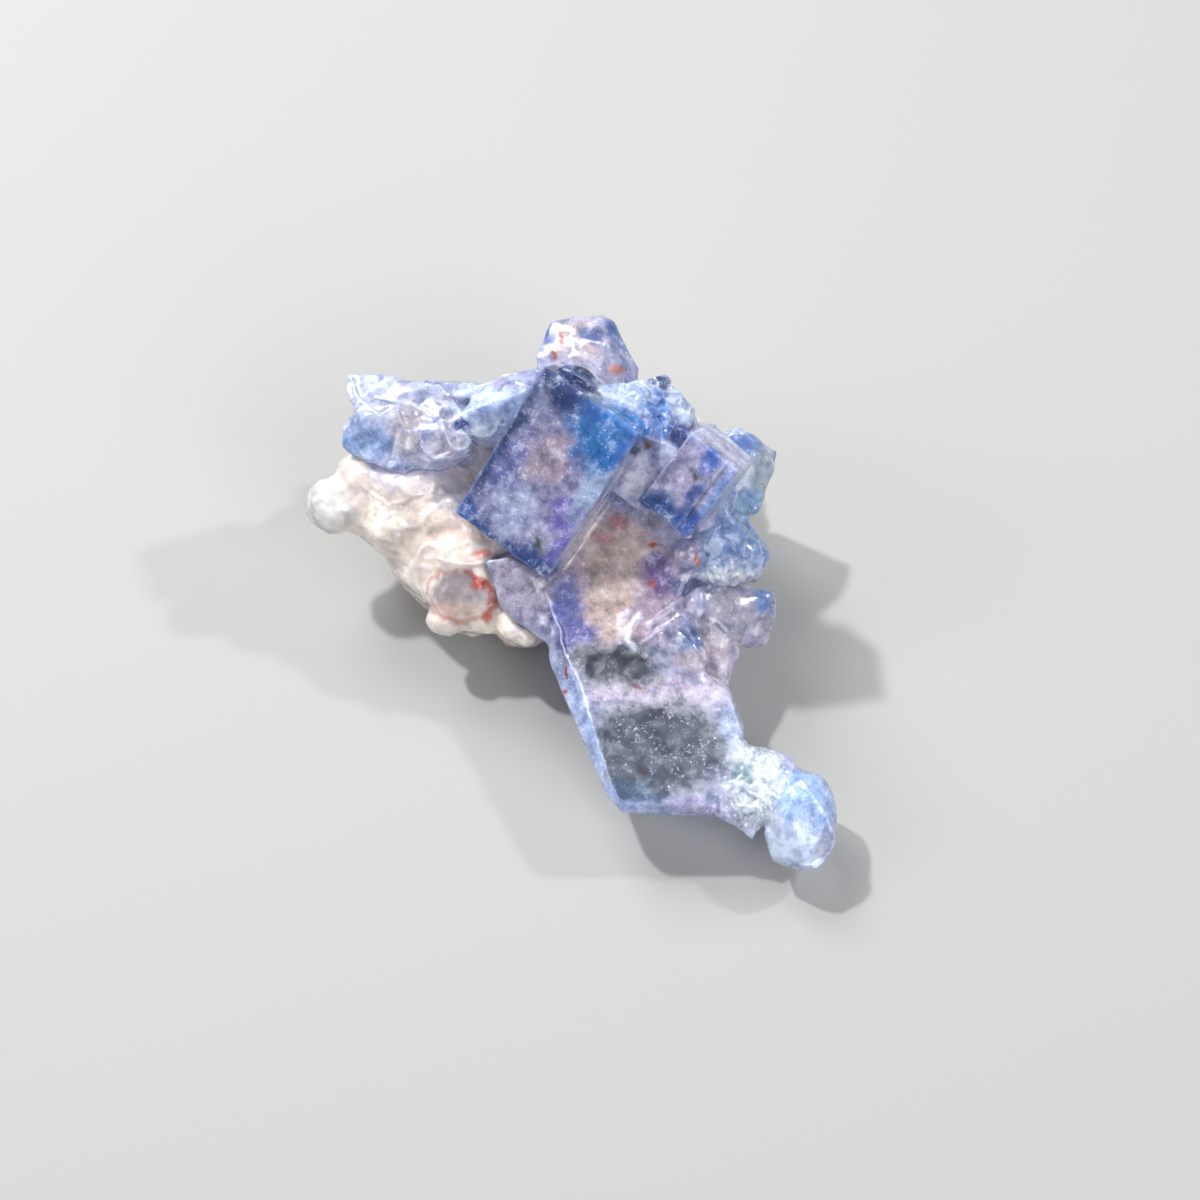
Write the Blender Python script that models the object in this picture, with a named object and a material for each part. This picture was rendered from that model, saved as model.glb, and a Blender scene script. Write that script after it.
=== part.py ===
"""A cluster of intergrown fluorite cubes on milky quartz, modelled at its real size of 31 mm.

Run with: blender --background --python part.py

The shapes are given in millimetres in the growth slope, the tilted face that the crystals grew
out of. Its x runs right, its y up the slope and its z out of it, along the crystals' height.
"""

from itertools import product
from math import radians

import bmesh
import bpy
from mathutils import Matrix, Vector, noise

MM = 0.001

# The growth slope leans back from level by SLOPE_LEAN, and its origin stands SLOPE_ORIGIN from the
# middle of the table patch that the specimen rests on.
SLOPE_LEAN = 30.0
SLOPE_ORIGIN = (0.2, 0.1, 6.0)

# Most cubes grew parallel: one spin in the slope, and one lean of the outer face about x and y.
GROWTH_SPIN = 57.5
GROWTH_LEAN = (12.3, -19.3)

# The quartz keeps this far from the fluorite that sits in it.
SEAT_GAP = 0.3

FLUORITE_BLUE = (0.36, 0.42, 0.72, 1.0)
FLUORITE_ROUGHNESS = 0.15
QUARTZ_CREAM = (0.86, 0.82, 0.74, 1.0)
QUARTZ_ROUGHNESS = 0.45

# Cubes: middle of the outer face, then the edges along the spin, across it and inwards, then how
# far the cube is turned off the parallel growth, in spin and in lean about x and y.
CUBES = {
    "main_cube": ((-1.5, 6.6, 4.5), (10.1, 6.45, 7.5), (0, 0, 0)),
    "shoulder": ((4.2, 6.6, 4.6), (4.2, 2.4, 6.0), (0, 1, 0)),
    "small_cube": ((6.4, 5.9, 5.6), (5.0, 3.35, 3.5), (-4, 1, -1)),
    "step_cube": ((6.0, -3.1, 2.5), (2.6, 3.2, 6.0), (-26, -10, 22)),
    "rear_cube": ((0.3, 13.4, -4.8), (4.3, 4.0, 6.0), (20, -94, 14)),
    "rear_left_cube": ((-6.0, 12.3, -5.2), (4.2, 3.8, 6.0), (-12, -96, 24)),
    "rear_corner_cube": ((-10.6, 10.0, -4.0), (3.0, 3.2, 5.0), (30, -85, -14)),
    "rear_right_cube": ((5.8, 10.4, -5.2), (4.4, 4.0, 6.0), (6, -92, 34)),
    "back_low_cube": ((2.4, 12.0, -9.2), (3.4, 3.1, 5.0), (38, -112, 20)),
    "back_left_cube": ((-4.6, 11.6, -9.6), (2.8, 2.6, 4.0), (10, -118, 8)),
    "right_low_cube": ((9.6, 2.6, -4.0), (3.3, 3.0, 5.0), (18, -28, 92)),
}

# Shards, broken or grown together too closely for whole cubes: the corners of the outer side, then
# how far the inner side lies from it, and its size as a share of the outer side.
SHARDS = {
    "top_crystal": (
        [(1.7, 16.0, -0.5), (2.4, 15.6, -1.0), (-1.3, 15.6, -0.3), (-2.1, 13.4, 0.8), (3.8, 12.8, -0.5),
         (1.7, 14.2, 1.3), (-1.6, 11.2, 1.2), (1.5, 11.3, 1.8), (3.6, 11.4, 0.2)],
        (0.2, -1.6, -5.0), 0.8),
    "top_ledge": (
        [(-0.7, 12.4, 4.9), (-0.2, 12.8, 4.6), (0.8, 12.5, 4.4), (1.5, 11.8, 4.3), (1.2, 11.4, 4.9),
         (0.2, 12.0, 5.3)],
        (0.0, 0.0, -4.0), 0.9),
    "broken_shoulder": (
        [(1.4, 11.5, 4.4), (3.7, 11.9, 3.2), (5.6, 11.5, 2.6), (6.0, 10.0, 3.6), (5.2, 8.1, 5.2),
         (4.0, 8.6, 5.9), (2.4, 10.0, 5.5), (4.4, 10.4, 4.7)],
        (-0.6, -0.8, -7.0), 0.75),
    "broken_corner": (
        [(4.6, 11.5, 2.4), (5.8, 11.5, 2.2), (6.4, 11.2, 2.2), (7.0, 10.3, 2.4), (7.3, 9.3, 2.5),
         (6.9, 8.6, 3.4), (5.4, 8.6, 4.4), (5.9, 10.2, 3.7)],
        (-1.0, -0.8, -6.0), 0.7),
    "right_ledge": (
        [(4.0, 11.5, 2.4), (4.2, 12.1, 2.0), (5.3, 12.3, 1.7), (5.6, 12.0, 1.7), (5.4, 11.5, 2.3)],
        (0.0, 0.0, -4.0), 0.9),
    "aqua_crystal": (
        [(-3.9, 10.9, 3.2), (-3.8, 12.4, 1.2), (-2.0, 12.8, 0.6), (-2.2, 11.6, 2.2), (-5.4, 11.8, 0.8),
         (-5.6, 10.2, 2.4), (-6.4, 9.7, 1.6), (-6.0, 9.0, 1.4), (-4.5, 8.7, 1.6), (-3.2, 9.8, 2.6)],
        (1.8, -1.6, -5.5), 0.9),
    "left_point": (
        [(-7.0, 11.4, 0.9), (-6.4, 11.9, 0.4), (-5.3, 11.8, 0.5), (-5.6, 11.2, 1.5), (-6.4, 11.0, 1.5)],
        (0.2, -0.3, -3.0), 0.9),
    "left_horn": (
        [(-12.9, 12.5, 0.0), (-11.3, 12.4, 0.4), (-9.2, 12.2, 0.6), (-9.0, 10.0, 1.5), (-12.3, 10.3, 1.0),
         (-12.9, 11.5, 0.4)],
        (1.2, -1.0, -3.6), 0.75),
    "left_corner": (
        [(-12.5, 10.2, 0.9), (-13.1, 9.3, 0.6), (-13.1, 8.5, 0.5), (-12.7, 7.9, 0.5), (-10.9, 7.2, 1.0),
         (-9.5, 6.7, 1.3), (-9.0, 8.5, 1.9), (-9.8, 10.4, 1.7), (-11.5, 10.2, 1.6)],
        (1.0, -0.4, -3.6), 0.75),
    "left_inner": (
        [(-9.6, 12.1, 0.6), (-8.9, 12.2, 0.5), (-7.8, 11.8, 0.5), (-7.0, 11.3, 0.8), (-5.9, 9.6, 1.7),
         (-5.8, 8.0, 1.8), (-7.9, 7.0, 1.8), (-9.5, 7.0, 1.4), (-8.8, 9.0, 2.2), (-7.5, 9.2, 2.4)],
        (0.6, -0.8, -5.0), 0.8),
    "right_rear_crystal": (
        [(8.2, 8.8, -1.6), (9.5, 9.6, -1.8), (10.2, 9.3, -1.6), (12.0, 8.3, -2.4), (11.3, 5.7, -1.8),
         (10.8, 4.4, -1.8), (8.8, 4.4, -0.6), (8.7, 7.1, -0.3), (10.5, 7.7, -0.6)],
        (-2.0, -0.6, -3.6), 0.75),
    "blue_crystal": (
        [(9.1, 4.8, 0.6), (10.0, 4.5, 0.0), (11.4, 2.2, 0.2), (10.6, 0.6, 0.4), (8.4, 0.3, 1.4),
         (6.8, 0.8, 1.7), (6.8, 2.6, 2.1), (7.4, 4.2, 1.9), (9.1, 3.6, 2.0), (10.3, 2.2, 1.6)],
        (-2.0, 0.4, -5.5), 0.7),
    "lower_right_block": (
        [(9.4, 0.5, -0.4), (11.5, 0.1, -0.8), (11.7, -0.6, -0.8), (11.6, -1.7, -0.9), (11.3, -3.0, -1.2),
         (10.1, -3.2, -0.6), (9.0, -2.4, 0.7), (8.6, -0.4, 0.9), (10.4, -0.9, 0.2)],
        (-2.2, 1.2, -3.6), 0.75),
    "lower_inner_block": (
        [(7.0, 0.4, 1.2), (9.4, 0.2, 0.4), (9.8, -1.6, 0.3), (9.4, -4.2, 0.0), (8.9, -5.3, 0.6),
         (7.0, -6.2, 1.6), (4.6, -5.8, 2.2), (5.0, -3.0, 2.3), (6.4, -1.0, 1.9)],
        (-1.4, 2.2, -5.0), 0.75),
    "centre_block": (
        [(-1.8, 1.0, 1.1), (1.0, 5.0, 1.4), (3.0, 5.1, 1.6), (7.5, 3.2, 1.6), (5.6, -2.6, 2.3),
         (2.8, -4.6, 2.6), (0.1, -4.2, 2.4), (-1.0, -1.8, 1.9), (-1.7, 0.2, 1.4)],
        (-0.2, 2.2, -6.0), 0.8),
    "right_body": (
        [(4.4, 8.4, 3.4), (8.0, 7.6, 1.6), (9.4, 5.6, 1.6), (8.9, 4.2, 1.8), (7.2, 3.4, 2.6),
         (3.6, 4.8, 2.8)],
        (-0.4, -0.6, -7.0), 0.9),
    "low_middle_crystal": (
        [(-4.9, 1.7, 1.7), (-3.6, 2.1, 2.0), (-1.6, 1.0, 1.7), (-1.3, -1.2, 1.5), (-1.2, -3.1, 1.3),
         (-1.9, -2.4, 0.9), (-4.2, -1.0, 1.3)],
        (0.4, 0.8, -4.0), 0.9),
    "tongue": (
        [(-0.3, -2.6, 2.1), (0.0, -4.1, 2.6), (1.25, -7.1, 3.7), (2.5, -11.2, 5.3), (3.0, -11.6, 5.4),
         (6.2, -11.4, 5.2), (8.0, -11.8, 5.2), (9.5, -8.0, 3.8), (8.9, -6.0, 3.0), (7.2, -4.4, 2.4),
         (-1.6, -1.5, 1.0), (-1.3, -4.0, 1.4), (-0.5, -5.7, 2.0), (0.4, -6.9, 2.4), (1.2, -9.3, 3.4),
         (1.9, -11.3, 4.2), (2.8, -12.2, 4.6), (6.2, -12.0, 4.4), (8.2, -12.5, 4.4), (9.7, -7.7, 2.8),
         (8.9, -5.3, 1.8), (6.0, -3.0, 0.8)],
        (0.3, 0.4, -1.6), 0.92),
    "neck": (
        [(8.0, -8.0, 4.0), (10.4, -8.9, 3.6), (12.3, -9.1, 3.4), (12.6, -9.7, 3.9), (11.6, -10.8, 4.9),
         (9.4, -12.9, 4.7), (10.0, -13.8, 4.4), (8.0, -12.4, 5.0)],
        (0.0, 0.2, -2.0), 0.8),
    "knob": (
        [(11.5, -10.3, 4.5), (12.5, -9.6, 4.1), (14.1, -10.0, 3.9), (14.8, -11.2, 3.7), (14.9, -14.1, 4.1),
         (13.9, -15.4, 4.5), (12.6, -15.6, 4.6), (11.0, -15.0, 4.4), (10.6, -13.4, 4.6), (11.3, -13.0, 5.6),
         (12.0, -11.3, 6.0), (13.2, -11.0, 5.8), (14.2, -13.4, 5.6), (12.6, -14.6, 6.0)],
        (-0.3, 0.3, -2.0), 0.7),
}

# Rounded lumps of fluorite: middle and radii.
FLUORITE_LUMPS = {
    "bump": ((6.5, 2.1, 2.0), (0.85, 0.85, 0.9)),
}

# Rounded lumps of quartz: middle and radii.
QUARTZ_LUMPS = {
    "far_lobe": ((-13.7, 5.05, -1.2), (1.65, 1.7, 1.65)),
    "lobe_neck": ((-11.9, 5.5, -1.7), (2.3, 2.4, 2.2)),
    "left_body": ((-9.3, 5.2, -2.4), (3.6, 3.4, 3.6)),
    "middle_body": ((-6.7, 2.6, -2.6), (4.1, 3.8, 3.8)),
    "lower_body": ((-5.7, -0.2, -2.6), (2.8, 2.4, 3.0)),
    "foot": ((-3.0, -1.9, -2.2), (1.5, 1.35, 2.8)),
    "base": ((-2.6, 4.6, -6.0), (8.2, 6.4, 4.6)),
    "base_front": ((-3.4, 0.6, -5.0), (3.6, 2.7, 2.9)),
    "base_right": ((4.6, 3.4, -5.6), (5.4, 4.8, 4.2)),
    "base_back": ((-1.6, 8.4, -6.6), (8.2, 4.4, 4.6)),
    "base_back_right": ((4.2, 7.6, -7.0), (4.4, 3.8, 3.4)),
    "base_back_left": ((-8.6, 7.0, -5.2), (3.6, 3.6, 3.4)),
    "left_bead": ((-10.4, 3.0, -1.2), (1.1, 1.0, 1.1)),
    "middle_bead": ((-7.9, 4.4, 0.3), (1.5, 1.2, 1.0)),
    "ledge_bead": ((-9.6, 5.9, 0.2), (1.7, 1.0, 0.9)),
    "low_bead": ((-7.3, -1.5, -0.9), (1.2, 1.0, 1.1)),
    "low_left_body": ((-6.5, 0.3, -0.9), (2.3, 1.9, 2.2)),
}

# A shallow pit in the tongue's face: middle and radii.
PIT = ((3.95, -9.75, 4.95), (0.38, 0.30, 0.34))

# A lump's surface swells and sinks by these shares of its radius, in waves of about these lengths.
LUMP_WAVES = ((0.10, 2.2), (0.06, 0.9))

# Lumps with a radius above this have finer faces.
FINE_LUMP_RADIUS = 3.0

# The table is a cube of this size, with its top at the height of the resting face.
TABLE_SIZE = 60.0


def clear_scene():
    for thing in list(bpy.data.objects):
        bpy.data.objects.remove(thing)


def material(name, colour, roughness):
    made = bpy.data.materials.new(name)
    made.use_nodes = True
    shader = made.node_tree.nodes["Principled BSDF"]
    shader.inputs["Base Color"].default_value = colour
    shader.inputs["Roughness"].default_value = roughness
    shader.inputs["Metallic"].default_value = 0.0
    return made


def growth_slope():
    slope = bpy.data.objects.new("growth_slope", None)
    slope.rotation_euler = (radians(SLOPE_LEAN), 0, 0)
    slope.location = Vector(SLOPE_ORIGIN) * MM
    bpy.context.scene.collection.objects.link(slope)
    return slope


def collection(name):
    made = bpy.data.collections.new(name)
    bpy.context.scene.collection.children.link(made)
    return made


def solid(name, shape, group, slope):
    """Closes a shape into an object that sits in the slope."""
    bmesh.ops.recalc_face_normals(shape, faces=shape.faces)
    mesh = bpy.data.meshes.new(name)
    shape.to_mesh(mesh)
    shape.free()
    made = bpy.data.objects.new(name, mesh)
    made.parent = slope
    group.objects.link(made)
    return made


def helper(name, shape, group, slope):
    """A solid that only takes part in a Boolean."""
    made = solid(name, shape, group, slope)
    made.hide_render = True
    made.display_type = "WIRE"
    return made


def hull(corners, grow=0.0):
    """The convex solid around the corners, thickened all round by grow."""
    shape = bmesh.new()
    signs = list(product((-grow, grow), repeat=3)) if grow else [(0, 0, 0)]
    for corner in corners:
        for sign in signs:
            shape.verts.new((Vector(corner) + Vector(sign)) * MM)
    made = bmesh.ops.convex_hull(shape, input=shape.verts)
    unused = set(made["geom_interior"]) | set(made["geom_unused"])
    loose = [part for part in unused if isinstance(part, bmesh.types.BMVert)]
    bmesh.ops.delete(shape, geom=loose, context="VERTS")
    bmesh.ops.dissolve_limit(shape, angle_limit=radians(0.5), verts=shape.verts, edges=shape.edges)
    bmesh.ops.triangulate(shape, faces=shape.faces)
    return shape


def cube_corners(at, edges, turn):
    long, wide, deep = edges
    spin, lean_x, lean_y = turn
    about_x = Matrix.Rotation(radians(GROWTH_LEAN[0] + lean_x), 3, "X")
    about_y = Matrix.Rotation(radians(GROWTH_LEAN[1] + lean_y), 3, "Y")
    turned = about_x @ about_y @ Matrix.Rotation(radians(GROWTH_SPIN + spin), 3, "Z")
    corners = product((-long / 2, long / 2), (-wide / 2, wide / 2), (-deep, 0))
    return [Vector(at) + turned @ Vector(corner) for corner in corners]


def shard_corners(outer, inner_shift, inner_size):
    corners = [Vector(corner) for corner in outer]
    middle = sum(corners, Vector()) / len(corners)
    inner = [middle + (corner - middle) * inner_size + Vector(inner_shift) for corner in corners]
    return corners + inner


def lump(at, radii):
    """A ball with radii along the slope's axes, made uneven by smooth noise."""
    shape = bmesh.new()
    fineness = 3 if max(radii) > FINE_LUMP_RADIUS else 2
    bmesh.ops.create_icosphere(shape, subdivisions=fineness, radius=1.0)
    for vert in shape.verts:
        offset = Vector(radius * c for radius, c in zip(radii, vert.co))
        place = Vector(at) + offset
        swell = sum(share * noise.noise(place / length) for share, length in LUMP_WAVES)
        vert.co = (Vector(at) + offset * (1 + swell)) * MM
    return shape


def fluorite_forms():
    """Every crystal's corners, by name."""
    forms = {name: cube_corners(*values) for name, values in CUBES.items()}
    forms.update({name: shard_corners(*values) for name, values in SHARDS.items()})
    return forms


def boolean(owner, operation, group):
    step = owner.modifiers.new(group.name, "BOOLEAN")
    step.operation = operation
    step.solver = "EXACT"
    step.operand_type = "COLLECTION"
    step.collection = group


def body_of(vert):
    """Every corner joined to this one by edges."""
    found = {vert}
    waiting = [vert]
    while waiting:
        here = waiting.pop()
        for edge in here.link_edges:
            other = edge.other_vert(here)
            if other not in found:
                found.add(other)
                waiting.append(other)
    return found


def keep_largest_body(owner):
    """Applies the Booleans, then drops the chips they cut loose and the hollows they closed in."""
    result = owner.evaluated_get(bpy.context.evaluated_depsgraph_get())
    mesh = bpy.data.meshes.new_from_object(result)
    shape = bmesh.new()
    shape.from_mesh(mesh)
    waiting = set(shape.verts)
    bodies = []
    while waiting:
        bodies.append(body_of(next(iter(waiting))))
        waiting -= bodies[-1]
    bodies.sort(key=len)
    spare = [vert for body in bodies[:-1] for vert in body]
    bmesh.ops.delete(shape, geom=spare, context="VERTS")
    shape.to_mesh(mesh)
    shape.free()
    owner.modifiers.clear()
    owner.data = mesh


def fluorite(slope):
    """All the crystals, grown together into one solid around the largest cube."""
    crystals = collection("crystals")
    forms = fluorite_forms()
    for name, corners in forms.items():
        if name != "main_cube":
            helper(name, hull(corners), crystals, slope)
    for name, (at, radii) in FLUORITE_LUMPS.items():
        helper(name, lump(at, radii), crystals, slope)
    pits = collection("pits")
    helper("pit", lump(*PIT), pits, slope)

    body = solid("fluorite_cubes", hull(forms["main_cube"]), bpy.context.scene.collection, slope)
    boolean(body, "UNION", crystals)
    boolean(body, "DIFFERENCE", pits)
    body.data.materials.append(material("fluorite_blue", FLUORITE_BLUE, FLUORITE_ROUGHNESS))
    keep_largest_body(body)
    return body


def quartz(slope):
    """The milky quartz that the crystals sit in, cut level where it rests on the table."""
    lumps = collection("quartz_lumps")
    for name, (at, radii) in QUARTZ_LUMPS.items():
        if name != "base":
            helper(name, lump(at, radii), lumps, slope)
    seats = collection("seats")
    for name, corners in fluorite_forms().items():
        helper(name + "_seat", hull(corners, grow=SEAT_GAP), seats, slope)

    table = bmesh.new()
    bmesh.ops.create_cube(table, size=TABLE_SIZE * MM)
    bmesh.ops.translate(table, vec=(0, 0, -TABLE_SIZE / 2 * MM), verts=table.verts)
    cuts = collection("cuts")
    helper("table", table, cuts, None)

    body = solid("quartz_matrix", lump(*QUARTZ_LUMPS["base"]), bpy.context.scene.collection, slope)
    boolean(body, "UNION", lumps)
    boolean(body, "DIFFERENCE", seats)
    boolean(body, "DIFFERENCE", cuts)
    body.data.materials.append(material("quartz_cream", QUARTZ_CREAM, QUARTZ_ROUGHNESS))
    keep_largest_body(body)
    return body


def build():
    clear_scene()
    slope = growth_slope()
    fluorite(slope)
    quartz(slope)


build()
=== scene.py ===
"""The looks of a fluorite cube cluster on milky quartz, about 31 mm across.

Places are given in millimetres in the growth slope, the tilted face that the crystals grew out of:
x runs right, y up the slope and z out of it. Finished pieces are in metres, in the frame's own axes.
"""

from math import pi, radians

import bmesh
import bpy
import numpy as np
from mathutils import Matrix, Vector, noise
from mathutils.bvhtree import BVHTree


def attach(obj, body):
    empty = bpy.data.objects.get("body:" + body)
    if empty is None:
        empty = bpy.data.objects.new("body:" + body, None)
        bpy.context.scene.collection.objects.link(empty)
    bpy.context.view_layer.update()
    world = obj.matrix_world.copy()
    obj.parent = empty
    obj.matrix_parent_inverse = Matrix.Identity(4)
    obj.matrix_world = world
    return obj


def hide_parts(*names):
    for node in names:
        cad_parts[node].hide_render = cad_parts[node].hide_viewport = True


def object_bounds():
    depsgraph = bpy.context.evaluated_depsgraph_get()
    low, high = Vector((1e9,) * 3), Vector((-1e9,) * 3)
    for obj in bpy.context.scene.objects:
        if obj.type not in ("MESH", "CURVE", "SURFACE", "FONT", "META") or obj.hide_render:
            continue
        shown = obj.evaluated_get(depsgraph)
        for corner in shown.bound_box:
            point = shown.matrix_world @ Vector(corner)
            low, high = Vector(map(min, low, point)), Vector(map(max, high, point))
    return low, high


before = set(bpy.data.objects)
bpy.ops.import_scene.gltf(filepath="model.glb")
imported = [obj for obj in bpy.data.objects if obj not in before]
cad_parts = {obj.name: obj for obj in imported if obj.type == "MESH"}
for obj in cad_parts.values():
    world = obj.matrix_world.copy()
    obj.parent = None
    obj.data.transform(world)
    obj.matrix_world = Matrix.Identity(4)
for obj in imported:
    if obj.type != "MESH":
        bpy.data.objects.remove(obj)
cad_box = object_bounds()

MM = 0.001

# Vector noise takes its seed from the clock unless it is given one.
NOISE_SEED = 7
noise.seed_set(NOISE_SEED)

# The growth slope and the parallel growth of the cubes, as in the part's source.
SLOPE_LEAN = 30.0
SLOPE_ORIGIN = (0.2, 0.1, 6.0)
GROWTH_SPIN = 57.5
GROWTH_LEAN = (12.3, -19.3)

# Two cubes with colours of their own: middle of the outer face, edges along the spin, across it and
# inwards, and how far each is turned off the parallel growth.
MAIN_CUBE = ((-1.5, 6.6, 4.5), (10.1, 6.45, 7.5), (0, 0, 0))
SMALL_CUBE = ((6.4, 5.9, 5.6), (5.0, 3.35, 3.5), (-4, 1, -1))

# The camera looks straight at the slope, at the point VIEW_AIM of it.
VIEW_AIM = (1.556, -0.389, 4.0)
VIEW_DISTANCE = 166.7
LENS = 90.0

# Grain of the finished surfaces in millimetres, and the most triangles of a finished piece.
FLUORITE_VOXEL = 0.1
QUARTZ_VOXEL = 0.11
MOST_TRIANGLES = 190000

# A closed shell with fewer corners than this is a bubble left by meshing.
BUBBLE_CORNERS = 100

# Points lower in the slope than this are out of sight from the photo's side, and this share of their
# faces is given up first.
UNDERSIDE = -3.5
UNDERSIDE_THINNING = 0.7

# The voxel meshes are smoothed by this much before they are worn and pressed, and each round of wear
# draws a fully worn point this share of the way to its neighbours.
SMOOTHING = {"factor": 0.5, "iterations": 2}
WEAR_PULL = 0.6

# The whole of the specimen, as a reach in the slope.
EVERYWHERE = (60, 60, 60)

# Zones, crests, stained lines and the swelling are at full strength over these shares of their reach
# or half width, and fade out over the rest.
COLOUR_CORE = 0.45
WEAR_CORE = 0.6
RELIEF_CORE = 0.55
CREST_CORE = 0.1
VEIN_CORE = 0.3
SWELL_CORE = 0.2

# Crests and stained lines lie only on what faces out of the slope: from none to all of the line as the
# surface's direction out of the slope rises. Crests also stay off what lies deep in the slope.
FACING_OUT = (0.15, 0.5)
CREST_DEPTH = (1.5, 2.5)

# Crests wander by up to about CREST_WANDER millimetres, in bends of about CREST_BENDS millimetres.
CREST_WANDER = 0.09
CREST_BENDS = 0.6

# How the light bends in each mineral, how far it spreads under the milky parts in millimetres, how the
# clear fluorite tints what passes through it, and how deep its fine pits look in metres.
FLUORITE_INDEX = 1.434
QUARTZ_INDEX = 1.544
FLUORITE_SPREAD = 0.7
QUARTZ_SPREAD = 0.9
FLUORITE_TINTING = (0.58, 0.7, 0.97, 1.0)
FLUORITE_DENSITY = 55.0
FLUORITE_PITS = 0.00004
QUARTZ_PITS = 0.00008

# Colours of the clouds, of the white of crests, pits and crumbs, and of the flakes. The first darkens the
# colour under it.
FLUORITE_DEEPER = (0.4, 0.48, 0.62)
FLUORITE_PALE = (226, 230, 244)
# The white is partly a painted glint on crests and, on the fluorite's pits, a painted sparkle.
FLUORITE_WHITE = (240, 243, 250)
QUARTZ_GREY = (186, 178, 190)
QUARTZ_PALE = (250, 246, 240)
QUARTZ_WHITE = (252, 250, 248)
FLAKE_GREY = (206, 214, 226)
FLAKE_WHITE = (250, 250, 252)

# Soft lights: place and size in millimetres, and power in watts.
SOFTBOXES = {
    "back_softbox": ((-110, 190, 240), 130, 0.68),
    "glint_lamp": ((-120, 90, 230), 14, 0.66),
    "right_glint": ((170, 70, 180), 14, 0.26),
    "left_softbox": ((-200, -20, 150), 120, 0.16),
    "front_fill": ((130, -150, 170), 160, 0.36),
}
DAYLIGHT = ((0.94, 0.96, 1.0, 1.0), 0.31)
FLOOR_COLOUR = (154, 154, 153)

SLOPE = Matrix.Translation(Vector(SLOPE_ORIGIN) * MM) @ Matrix.Rotation(radians(SLOPE_LEAN), 4, "X")


def world_from_slope(point):
    return SLOPE @ (Vector(point) * MM)


def linear(red, green, blue):
    """A colour seen as red, green and blue from 0 to 255, as a shader takes it."""
    def channel(value):
        value /= 255
        return value / 12.92 if value <= 0.04045 else ((value + 0.055) / 1.055) ** 2.4
    return (channel(red), channel(green), channel(blue), 1.0)


# Shader maths

class Wire:
    """A number that changes over a surface. Python's operators on it add Math nodes."""

    def __init__(self, recipe, socket):
        self.recipe = recipe
        self.socket = socket

    def maths(self, operation, *values):
        return self.recipe.number("ShaderNodeMath", {"operation": operation}, *values)

    def __add__(self, other):
        return self.maths("ADD", self, other)

    __radd__ = __add__

    def __sub__(self, other):
        return self.maths("SUBTRACT", self, other)

    def __rsub__(self, other):
        return self.maths("SUBTRACT", other, self)

    def __mul__(self, other):
        return self.maths("MULTIPLY", self, other)

    __rmul__ = __mul__

    def larger(self, other):
        return self.maths("MAXIMUM", self, other)

    def smaller(self, other):
        return self.maths("MINIMUM", self, other)

    def rise(self, low, high):
        """0 below low, 1 above high and smooth between them. With low above high it falls."""
        settings = {"interpolation_type": "SMOOTHSTEP"}
        return self.recipe.number("ShaderNodeMapRange", settings, self, low, high, 0.0, 1.0)


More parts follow.
